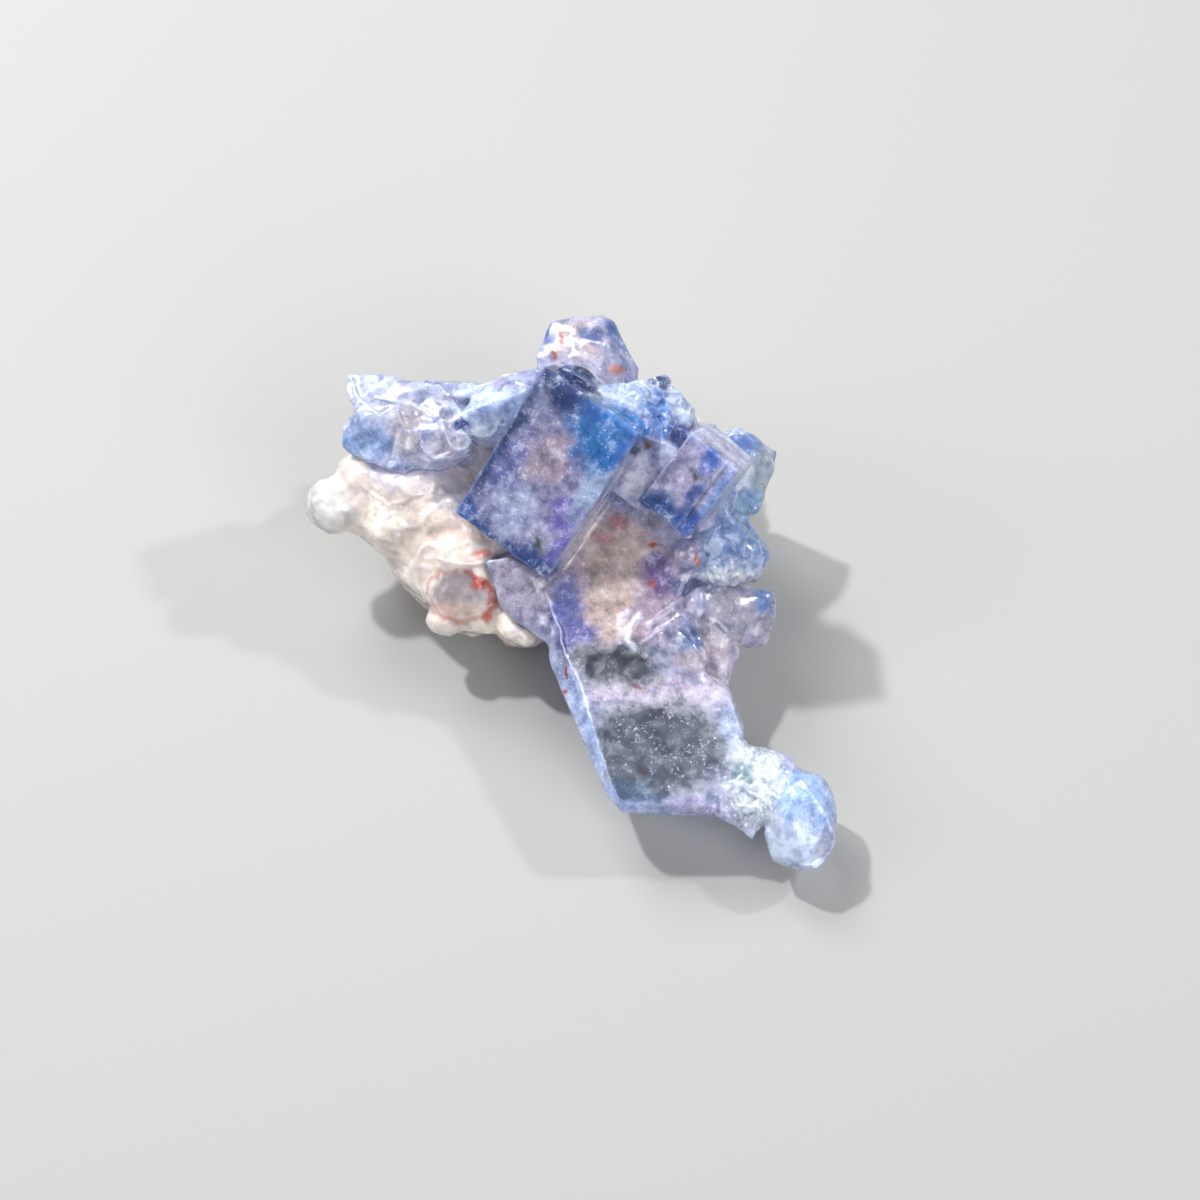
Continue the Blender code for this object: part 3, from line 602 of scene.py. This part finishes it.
def quartz_material():
    """Painted colours with grey and white clouds, and red stains."""
    recipe = Recipe("quartz")
    stirred = recipe.vector("ADD", recipe.place, recipe.push(amount=0.3, size=0.8))
    cloudy = recipe.cloud(1.1, detail=4.0, rough=0.65)
    fine = recipe.cloud(0.17, detail=3.0, rough=0.7)
    tint = stained(recipe, QUARTZ_STAINS, stirred, recipe.painted("tint"))
    tint = recipe.mix(cloudy.rise(0.52, 0.36) * 0.4, tint, linear(*QUARTZ_GREY))
    tint = recipe.mix(cloudy.rise(0.52, 0.7) * 0.5, tint, linear(*QUARTZ_PALE))
    milk, frost, worn_and_glint = recipe.parts(recipe.painted("finish"))
    # The crests' white is partly scratches and partly a painted glint.
    tint = recipe.mix(worn_and_glint * 0.5, tint, linear(*QUARTZ_WHITE))
    milk = milk + (cloudy - 0.5) * 0.5
    roughness = (frost + (fine - 0.5) * 0.3 + 0.08).larger(0.04)
    height = fine * 0.6 + cloudy * 0.8
    normal = recipe.node("ShaderNodeBump", {}, Strength=0.6, Distance=QUARTZ_PITS, Height=height).outputs[0]
    mineral(recipe, tint, milk, roughness, normal, QUARTZ_INDEX, QUARTZ_SPREAD)
    return recipe.material


def flake_material():
    """Thin healed cracks and bubbles, seen as silvery specks."""
    recipe = Recipe("silvery_flakes")
    tint = recipe.mix(recipe.cloud(0.6), linear(*FLAKE_GREY), linear(*FLAKE_WHITE))
    flake = recipe.node("ShaderNodeBsdfPrincipled", {}, Base_Color=tint, Roughness=0.3, IOR=1.2)
    recipe.tree.links.new(flake.outputs[0], recipe.end.inputs["Surface"])
    return recipe.material


# Relief, pressed into the finished surfaces. Each pattern takes places and a size in millimetres, and
# gives a height from about -1 to 1.
RIDGE_HALF_WIDTH = 0.16

# A chip's tilt and level, and how fast each changes from chip to chip.
CHIP_TILT = 1.6
CHIP_TILT_CHANGE = 5.3
CHIP_LEVEL = 0.5
CHIP_LEVEL_CHANGE = 3.1

# How far the plates' edges bend, as a share of a plate, and the size of the bends in millimetres.
PLATE_BEND = 0.12
PLATE_BENDS = 2.5


def waves(places, size):
    """Soft swells."""
    return np.array([noise.noise(place) for place in (places / size).tolist()])


def ridges(places, size):
    """Thin crests where the swells pass through zero."""
    return 1 - np.minimum(np.abs(waves(places, size)) / RIDGE_HALF_WIDTH, 1.0)


def chips(places, size):
    """Flat facets, each tilted its own way, as on a rough fracture."""
    heights = []
    for place in (places / size).tolist():
        centre = noise.voronoi(place)[1][0]
        tilt = noise.noise_vector(centre * CHIP_TILT_CHANGE) * CHIP_TILT
        level = noise.noise(centre * CHIP_LEVEL_CHANGE) * CHIP_LEVEL
        heights.append((Vector(place) - centre).dot(tilt) + level)
    return np.array(heights)


def plates(places, size):
    """Low square terraces along the cube axes, the growth steps of fluorite."""
    own = places @ np.array(cube_axes((0, 0, 0))) / size
    bend = np.stack([waves(places + shift, PLATE_BENDS) for shift in (0, 17, 31)], axis=1)
    own = own + PLATE_BEND * bend
    return np.array([noise.cell(place) for place in own.tolist()])


# Relief of the fluorite: middle and reach, pattern, its size, and its height in millimetres.
FLUORITE_RELIEF = [
    ((0.5, 6.4, 5.0), (9.0, 7.0, 3.0), plates, 1.3, 0.022),
    ((0, 0, 0), EVERYWHERE, waves, 0.4, 0.02),
    ((-9.0, 9.6, 0.8), (6.0, 4.4, 4.0), waves, 1.4, 0.3),
    ((-9.0, 9.6, 0.8), (6.0, 4.4, 4.0), ridges, 1.9, 0.16),
    ((-4.6, 10.5, 1.8), (3.0, 3.2, 3.0), chips, 1.1, 0.2),
    ((0.8, 13.6, 0.0), (3.4, 3.2, 4.0), waves, 0.9, 0.12),
    ((4.6, 10.4, 3.0), (3.6, 2.2, 3.5), chips, 0.6, 0.26),
    ((4.6, 10.3, 3.0), (3.6, 2.5, 3.5), waves, 1.0, 0.24),
    ((9.9, 6.8, -1.5), (3.0, 3.6, 4.0), waves, 1.3, 0.2),
    ((9.0, 2.4, 1.0), (3.0, 2.9, 3.0), chips, 0.9, 0.18),
    ((8.8, 1.1, 1.2), (1.8, 1.2, 2.0), chips, 0.35, 0.14),
    ((8.8, -2.8, 0.2), (3.8, 3.6, 3.0), waves, 1.4, 0.24),
    ((7.4, -2.6, 1.4), (3.6, 3.6, 2.6), ridges, 2.4, 0.12),
    ((2.4, 0.4, 2.0), (4.6, 4.8, 2.5), waves, 1.8, 0.14),
    ((4.6, -8.4, 4.4), (5.4, 4.6, 3.0), waves, 2.2, 0.1),
    ((10.2, -10.6, 4.2), (2.4, 3.4, 3.0), chips, 0.5, 0.24),
    ((10.2, -10.6, 4.2), (2.4, 3.4, 3.0), ridges, 1.0, 0.16),
    ((12.8, -12.6, 4.8), (3.0, 3.6, 3.0), waves, 1.4, 0.2),
    ((12.8, -12.6, 4.8), (3.0, 3.6, 3.0), waves, 0.2, 0.03),
    ((-3.6, -0.2, 1.0), (3.0, 3.0, 3.0), waves, 1.2, 0.16),
    ((0, 4.0, -8.0), (16, 14, 4.5), waves, 1.2, 0.16),
]

QUARTZ_RELIEF = [
    ((0, 0, 0), EVERYWHERE, waves, 1.3, 0.15),
    ((0, 0, 0), EVERYWHERE, waves, 0.42, 0.06),
    ((-8.0, 4.0, 0.0), (5.0, 3.4, 4.0), ridges, 1.6, 0.1),
    ((-10.4, 4.0, -0.4), (2.2, 2.0, 3.0), chips, 0.45, 0.12),
]


def corners_of(mesh):
    places = np.empty(len(mesh.vertices) * 3, np.float32)
    mesh.vertices.foreach_get("co", places)
    return places.reshape(-1, 3).astype(float)


def normals_of(mesh):
    normals = np.empty(len(mesh.vertices) * 3, np.float32)
    mesh.vertex_normals.foreach_get("vector", normals)
    return normals.reshape(-1, 3).astype(float)


def put(mesh, places):
    mesh.vertices.foreach_set("co", places.astype(np.float32).ravel())
    mesh.update()


def slope_turn():
    return np.array(Matrix.Rotation(radians(SLOPE_LEAN), 3, "X"))


def in_slope(places):
    """Places in metres in the frame as millimetres in the slope."""
    return (places / MM - np.array(SLOPE_ORIGIN)) @ slope_turn()


def falling(far, low, high):
    """1 below low, 0 above high and smooth between them."""
    share = np.clip((high - far) / (high - low), 0, 1)
    return share * share * (3 - 2 * share)


def within(places, middle, reach, core):
    """1 in the core of an egg-shaped zone, falling to 0 at its reach."""
    return falling(np.linalg.norm((places - middle) / reach, axis=1), core, 1.0)


class Net:
    """A mesh's points as an array, with the edges between them."""

    def __init__(self, mesh):
        self.places = corners_of(mesh)
        ends = np.empty(len(mesh.edges) * 2, np.int32)
        mesh.edges.foreach_get("vertices", ends)
        self.links = np.bincount(ends, minlength=len(self.places))[:, None]
        self.first, self.second = ends.reshape(-1, 2).T

    def average(self, values):
        """The mean of each point's neighbours."""
        count = len(values)
        columns = [np.bincount(self.first, column[self.second], count)
                   + np.bincount(self.second, column[self.first], count) for column in values.T]
        return np.stack(columns, axis=1) / self.links

    def smoothed(self, share, rounds):
        """The places after rounds of drawing each point towards its neighbours by share."""
        places = self.places
        for _ in range(rounds):
            places = places + share * (self.average(places) - places)
        return places


def wear_round(mesh, zones, rounds):
    net = Net(mesh)
    inner = in_slope(net.places)
    share = np.zeros(len(inner))
    for middle, reach, most in zones:
        share = np.maximum(share, within(inner, middle, reach, WEAR_CORE) * most)
    put(mesh, net.smoothed(share[:, None] * WEAR_PULL, rounds))


def press(mesh, relief):
    """Moves the mesh's points along their normals by the relief."""
    places = corners_of(mesh)
    inner = in_slope(places)
    height = np.zeros(len(places))
    for middle, reach, pattern, size, most in relief:
        share = within(inner, middle, reach, RELIEF_CORE)
        touched = share > 0.001
        height[touched] += share[touched] * most * pattern(inner[touched], size)
    put(mesh, places + normals_of(mesh) * height[:, None] * MM)


def far_from_line(places, line):
    """How far each place is from a line of straight runs, both seen along the slope's height."""
    far = np.full(len(places), np.inf)
    for start, end in zip(line, line[1:]):
        along = np.array(end) - start
        share = np.clip((places - start) @ along / (along @ along), 0, 1)
        far = np.minimum(far, np.linalg.norm(places - start - share[:, None] * along, axis=1))
    return far


def facing_out(normals):
    """1 where the surface faces out of the slope, and 0 where it faces in."""
    return 1 - falling((normals @ slope_turn())[:, 2], *FACING_OUT)


def raise_crests(mesh):
    """Raises the crests on what faces out of the slope, and gives how white each point becomes, partly as
    scratches and partly as a painted glint.
    """
    places = corners_of(mesh)
    normals = normals_of(mesh)
    inner = in_slope(places)
    facing = facing_out(normals) * falling(-inner[:, 2], *CREST_DEPTH)
    wander = np.stack([waves(inner + shift, CREST_BENDS) for shift in (0, 23)], axis=1) * CREST_WANDER
    seen = inner[:, :2] + wander
    height = np.zeros(len(places))
    white = np.zeros(len(places))
    for line, half_width, most, whiteness in CRESTS.values():
        share = falling(far_from_line(seen, line), CREST_CORE * half_width, half_width) * facing
        height += share * most
        white = np.maximum(white, share * whiteness)
    put(mesh, places + normals * height[:, None] * MM)
    return white


def in_cube(places, cube):
    """Places in the slope in a cube's own axes: -1 to 1 along and across its face, and 0 on the face."""
    at, edges, turn = cube
    return (places - np.array(at)) @ np.array(cube_axes(turn)) * (2 / edges[0], 2 / edges[1], 1.0)


def cut_steps(mesh, cube, steps):
    """Lowers parts of a cube's outer face in steps."""
    places = corners_of(mesh)
    own = in_cube(in_slope(places), cube)
    face = (np.abs(own[:, :2]).max(axis=1) < STEP_RIM) & (np.abs(own[:, 2]) < STEP_SKIN)
    depth = np.zeros(len(places))
    for way, start, most in steps:
        depth += most * (own[:, :2] @ way > start)
    inwards = -(slope_turn() @ np.array(cube_axes(cube[2]))[:, 2])
    put(mesh, places + inwards * (depth * face)[:, None] * MM)


def standing_out(mesh, rounds, most):
    """How far each point stands out from its surroundings, from 0 to 1 at most millimetres."""
    net = Net(mesh)
    out = ((net.places - net.smoothed(WEAR_PULL, rounds)) * normals_of(mesh)).sum(axis=1)
    return np.clip(out / (most * MM), 0, 1)


def hold_in_box(mesh):
    """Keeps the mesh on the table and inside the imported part's box."""
    low, high = (np.array(corner) for corner in cad_box)
    put(mesh, np.clip(corners_of(mesh), low, high))


def note(mesh, name, kind, values):
    """Keeps values on the mesh's points, under a name that materials and later steps read."""
    held = mesh.attributes.new(name, kind, "POINT")
    held.data.foreach_set("value" if kind == "FLOAT" else "color", values.astype(np.float32).ravel())


def noted(mesh, name):
    values = np.empty(len(mesh.vertices), np.float32)
    mesh.attributes[name].data.foreach_get("value", values)
    return values.astype(float)


def lay(zones, places, tint, finish, share=1.0):
    """Lays zones over the colours and finishes of points, by a share that may differ from point to point."""
    for middle, reach, colour, milk, frost in zones.values():
        part = (within(places, middle, reach, COLOUR_CORE) * share)[:, None]
        tint += (np.array(linear(*colour)) - tint) * part
        finish[:, :2] += (np.array((milk, frost)) - finish[:, :2]) * part


def paint(mesh, body, zones, sides, cubes, veins, rim_tint):
    """Colours the mesh's points: tint, and finish, which is milkiness, frost and the crests' white, partly
    scratched and partly a painted glint.
    """
    inner = in_slope(corners_of(mesh))
    normals = normals_of(mesh)
    swirl = np.array([noise.turbulence_vector(place, 3, False) for place in (inner / SWIRL).tolist()])
    stir = (swirl - swirl.mean(axis=0)) * STIR
    colour, milk, frost = body
    tint = np.tile(linear(*colour), (len(inner), 1))
    finish = np.tile((milk, frost, 0.0, 1.0), (len(inner), 1))
    lay(zones, inner + stir, tint, finish)
    lay(sides, inner, tint, finish, falling(normals @ slope_turn() @ TONGUE_FACE, SIDE_START, FACE_START))
    for cube, own_zones in cubes:
        own = in_cube(inner, cube)
        inside = falling(np.abs(own[:, :2]).max(axis=1), *PAST_EDGE)
        inside *= falling(-own[:, 2], *DEEP_INSIDE) * falling(own[:, 2], *ABOVE_FACE)
        lay(own_zones, own + CUBE_STIR * stir, tint, finish, inside)
    for line, half_width, colour, strength in veins.values():
        far = far_from_line((inner + VEIN_STIR * stir)[:, :2], line)
        share = falling(far, VEIN_CORE * half_width, half_width) * facing_out(normals) * strength
        tint += (np.array(linear(*colour)) - tint) * share[:, None]
    rim = noted(mesh, "rim")[:, None] * RIM_SHARE
    tint[:, :3] *= 1 - rim + rim * rim_tint
    # The third share of the finish is the crests' white: partly scratches, partly a painted glint.
    finish[:, 2] = noted(mesh, "white")
    note(mesh, "tint", "FLOAT_COLOR", tint)
    note(mesh, "finish", "FLOAT_COLOR", finish)


# Shapes

def linked(name, mesh):
    made = bpy.data.objects.new(name, mesh)
    bpy.context.scene.collection.objects.link(made)
    return made


def finished(name, mesh, material):
    mesh.materials.clear()
    mesh.materials.append(material)
    mesh.shade_smooth()
    return linked(name, mesh)


def merged_copy(node):
    """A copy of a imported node's mesh with its loose triangles joined."""
    shape = bmesh.new()
    shape.from_mesh(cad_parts[node].data)
    bmesh.ops.remove_doubles(shape, verts=shape.verts, dist=1e-6)
    mesh = bpy.data.meshes.new(node + "_merged")
    shape.to_mesh(mesh)
    shape.free()
    return mesh


def through_modifier(mesh, kind, settings, group=None):
    """The mesh as a modifier leaves it, with a group of its points where the modifier takes one."""
    guide = linked("guide", mesh)
    modifier = guide.modifiers.new(kind.lower(), kind)
    for name, value in settings.items():
        setattr(modifier, name, value)
    if group is not None:
        guide.vertex_groups.new(name="chosen").add(group.tolist(), 1.0, "REPLACE")
        modifier.vertex_group = "chosen"
    result = bpy.data.meshes.new_from_object(guide.evaluated_get(bpy.context.evaluated_depsgraph_get()))
    bpy.data.objects.remove(guide)
    return result


def evenly_meshed(mesh, voxel):
    """A closed mesh in small even faces, so that relief can be pressed into it."""
    mesh = through_modifier(mesh, "REMESH", {"mode": "VOXEL", "voxel_size": voxel * MM})
    return through_modifier(mesh, "SMOOTH", SMOOTHING)


def triangles_in(mesh):
    return sum(len(face.vertices) - 2 for face in mesh.polygons)


def without_bubbles(mesh):
    """The mesh without the tiny closed bubbles that meshing leaves in narrow places."""
    shape = bmesh.new()
    shape.from_mesh(mesh)
    left = set(shape.verts)
    while left:
        shell = {left.pop()}
        edge_of_shell = list(shell)
        while edge_of_shell:
            for edge in edge_of_shell.pop().link_edges:
                for corner in edge.verts:
                    if corner not in shell:
                        shell.add(corner)
                        edge_of_shell.append(corner)
        left -= shell
        if len(shell) < BUBBLE_CORNERS:
            bmesh.ops.delete(shape, geom=list(shell), context="VERTS")
    shape.to_mesh(mesh)
    shape.free()
    return mesh


def thinned(mesh):
    """The mesh within MOST_TRIANGLES: first the underside in larger faces, then all of it."""
    low = np.flatnonzero(in_slope(corners_of(mesh))[:, 2] < UNDERSIDE)
    spare = UNDERSIDE_THINNING * len(low) / len(mesh.vertices)
    mesh = through_modifier(mesh, "DECIMATE", {"ratio": 1 - spare}, low)
    share = min(MOST_TRIANGLES / triangles_in(mesh), 1.0)
    settings = {"ratio": share, "use_collapse_triangulate": True}
    return without_bubbles(through_modifier(mesh, "DECIMATE", settings))


def fluorite_piece():
    mesh = evenly_meshed(merged_copy("fluorite_cubes"), FLUORITE_VOXEL)
    wear_round(mesh, FLUORITE_WEAR, WEAR_ROUNDS)
    cut_steps(mesh, SMALL_CUBE, SMALL_CUBE_STEPS)
    press(mesh, FLUORITE_RELIEF)
    white = raise_crests(mesh)
    hold_in_box(mesh)
    # The white of crests and of what stands out is partly scratches and partly a painted glint.
    note(mesh, "white", "FLOAT", np.maximum(white, CREST_WHITE * standing_out(mesh, *CREST)))
    note(mesh, "rim", "FLOAT", standing_out(mesh, *EDGE))
    mesh = thinned(mesh)
    cubes = ((MAIN_CUBE, MAIN_CUBE_ZONES), (SMALL_CUBE, SMALL_CUBE_ZONES))
    paint(mesh, FLUORITE_BODY, FLUORITE_ZONES, TONGUE_SIDE, cubes, {}, np.array(RIM_TINT))
    piece = finished("fluorite_crystals", mesh, fluorite_material())
    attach(piece, "root")
    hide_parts("fluorite_cubes")
    return piece


def swell_to(mesh, neighbour, most, reach):
    """Swells the mesh by most millimetres beside the neighbour, falling to nothing at reach."""
    tree = BVHTree.FromObject(neighbour, bpy.context.evaluated_depsgraph_get())
    places = corners_of(mesh)
    far = np.array([tree.find_nearest(place)[3] for place in places.tolist()]) / MM
    swell = falling(far, SWELL_CORE * reach, reach) * most * MM
    put(mesh, places + normals_of(mesh) * swell[:, None])


def quartz_piece(fluorite):
    mesh = evenly_meshed(merged_copy("quartz_matrix"), QUARTZ_VOXEL)
    swell_to(mesh, fluorite, QUARTZ_SWELL, QUARTZ_REACH)
    mesh = evenly_meshed(mesh, QUARTZ_VOXEL)
    wear_round(mesh, QUARTZ_WEAR, QUARTZ_WEAR_ROUNDS)
    press(mesh, QUARTZ_RELIEF)
    white = raise_crests(mesh)
    hold_in_box(mesh)
    # The crests' white is partly scratches and partly a painted glint.
    note(mesh, "white", "FLOAT", white)
    note(mesh, "rim", "FLOAT", np.zeros(len(mesh.vertices)))
    mesh = thinned(mesh)
    paint(mesh, QUARTZ_BODY, QUARTZ_ZONES, {}, (), QUARTZ_VEINS, np.ones(3))
    piece = finished("milky_quartz", mesh, quartz_material())
    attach(piece, "root")
    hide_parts("quartz_matrix")


def scatter_tree(material):
    """Small flat flakes scattered in patches through a box."""
    tree = bpy.data.node_groups.new("scattered_flakes", "GeometryNodeTree")
    tree.interface.new_socket("Geometry", in_out="OUTPUT", socket_type="NodeSocketGeometry")
    sizes = {"Flakes": "Int", "Half Box": "Vector", "Smallest": "Float", "Largest": "Float",
             "Patches per Metre": "Float", "Seed": "Int"}
    for name, kind in sizes.items():
        tree.interface.new_socket(name, in_out="INPUT", socket_type="NodeSocket" + kind)

    def node(kind, settings, **values):
        made = tree.nodes.new(kind)
        for name, value in settings.items():
            setattr(made, name, value)
        for name, value in values.items():
            socket = next(s for s in made.inputs if s.enabled and s.name == name.replace("_", " "))
            if isinstance(value, bpy.types.NodeSocket):
                tree.links.new(value, socket)
            else:
                socket.default_value = value
        return next(s for s in made.outputs if s.enabled)

    def random(kind, low, high):
        return node("FunctionNodeRandomValue", {"data_type": kind}, Min=low, Max=high, Seed=given["Seed"])

    given = tree.nodes.new("NodeGroupInput").outputs
    low = node("ShaderNodeVectorMath", {"operation": "SCALE"}, Vector=given["Half Box"], Scale=-1.0)
    spots = random("FLOAT_VECTOR", low, given["Half Box"])
    points = node("GeometryNodePoints", {}, Count=given["Flakes"], Position=spots)
    cloud = node("ShaderNodeTexNoise", {}, Scale=given["Patches per Metre"], Detail=1.0)
    below = {"operation": "LESS_THAN", "data_type": "FLOAT"}
    thin = node("FunctionNodeCompare", below, A=cloud, B=THIN_PATCH)
    kept = node("GeometryNodeDeleteGeometry", {"domain": "POINT"}, Geometry=points, Selection=thin)
    size = random("FLOAT", given["Smallest"], given["Largest"])
    turn = random("FLOAT_VECTOR", (0, 0, 0), (2 * pi,) * 3)
    ball = node("GeometryNodeMeshIcoSphere", {}, Radius=1.0, Subdivisions=1)
    flake = node("GeometryNodeTransform", {}, Geometry=ball, Scale=FLAKE_SHAPE)
    placed = node("GeometryNodeInstanceOnPoints", {}, Points=kept, Instance=flake, Rotation=turn, Scale=size)
    real = node("GeometryNodeRealizeInstances", {}, Geometry=placed)
    coated = node("GeometryNodeSetMaterial", {}, Geometry=real, Material=material)
    tree.links.new(coated, tree.nodes.new("NodeGroupOutput").inputs[0])
    return tree


def scattered(name, tree, place, turn, values):
    """Flakes in a box that is placed and turned in the slope, as a plain mesh."""
    guide = linked("guide", bpy.data.meshes.new("guide"))
    modifier = guide.modifiers.new("flakes", "NODES")
    modifier.node_group = tree
    for socket in tree.interface.items_tree:
        if socket.in_out == "INPUT":
            modifier[socket.identifier] = values[socket.name]
    mesh = bpy.data.meshes.new_from_object(guide.evaluated_get(bpy.context.evaluated_depsgraph_get()))
    bpy.data.objects.remove(guide)
    mesh.transform(SLOPE @ Matrix.Translation(Vector(place) * MM) @ turn.to_4x4())
    piece = linked(name, mesh)
    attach(piece, "root")


def flakes_in_tongue():
    tree = scatter_tree(flake_material())
    lean = Matrix.Rotation(radians(FLAKE_LEAN), 3, "X")
    for name, (place, values) in FLAKES.items():
        scattered(name, tree, place, lean, values)


# Setting

def floor():
    shape = bmesh.new()
    bmesh.ops.create_grid(shape, x_segments=1, y_segments=1, size=2.0)
    mesh = bpy.data.meshes.new("floor")
    shape.to_mesh(mesh)
    shape.free()
    recipe = Recipe("floor")
    paper = recipe.node("ShaderNodeBsdfPrincipled", {}, Base_Color=linear(*FLOOR_COLOUR), Roughness=0.85)
    recipe.tree.links.new(paper.outputs[0], recipe.end.inputs["Surface"])
    made = finished("floor", mesh, recipe.material)


def softbox(name, place, size, power):
    """A square soft light at a place in millimetres, aimed at the specimen."""
    light = bpy.data.lights.new(name, "AREA")
    light.shape = "SQUARE"
    light.size = size * MM
    light.energy = power
    made = bpy.data.objects.new(name, light)
    made.location = Vector(place) * MM
    aim = Vector((0, 0, 8 * MM)) - made.location
    made.rotation_euler = aim.to_track_quat("-Z", "Y").to_euler()
    bpy.context.scene.collection.objects.link(made)


def camera():
    lens = bpy.data.cameras.new("camera")
    lens.lens = LENS
    lens.sensor_width = 36.0
    lens.clip_start = 0.005
    lens.clip_end = 10.0
    made = bpy.data.objects.new("camera", lens)
    away = SLOPE.to_3x3() @ Vector((0, 0, VIEW_DISTANCE * MM))
    made.location = world_from_slope(VIEW_AIM) + away
    made.rotation_euler = (radians(SLOPE_LEAN), 0, 0)
    bpy.context.scene.collection.objects.link(made)
    bpy.context.scene.camera = made


def setting():
    camera()
    floor()
    for name, (place, size, power) in SOFTBOXES.items():
        softbox(name, place, size, power)
    world = bpy.data.worlds.new("studio")
    world.use_nodes = True
    background = world.node_tree.nodes["Background"]
    background.inputs["Color"].default_value, background.inputs["Strength"].default_value = DAYLIGHT
    bpy.context.scene.world = world
    bpy.context.scene.view_settings.view_transform = "Standard"


setting()
crystals = fluorite_piece()
quartz_piece(crystals)
flakes_in_tongue()
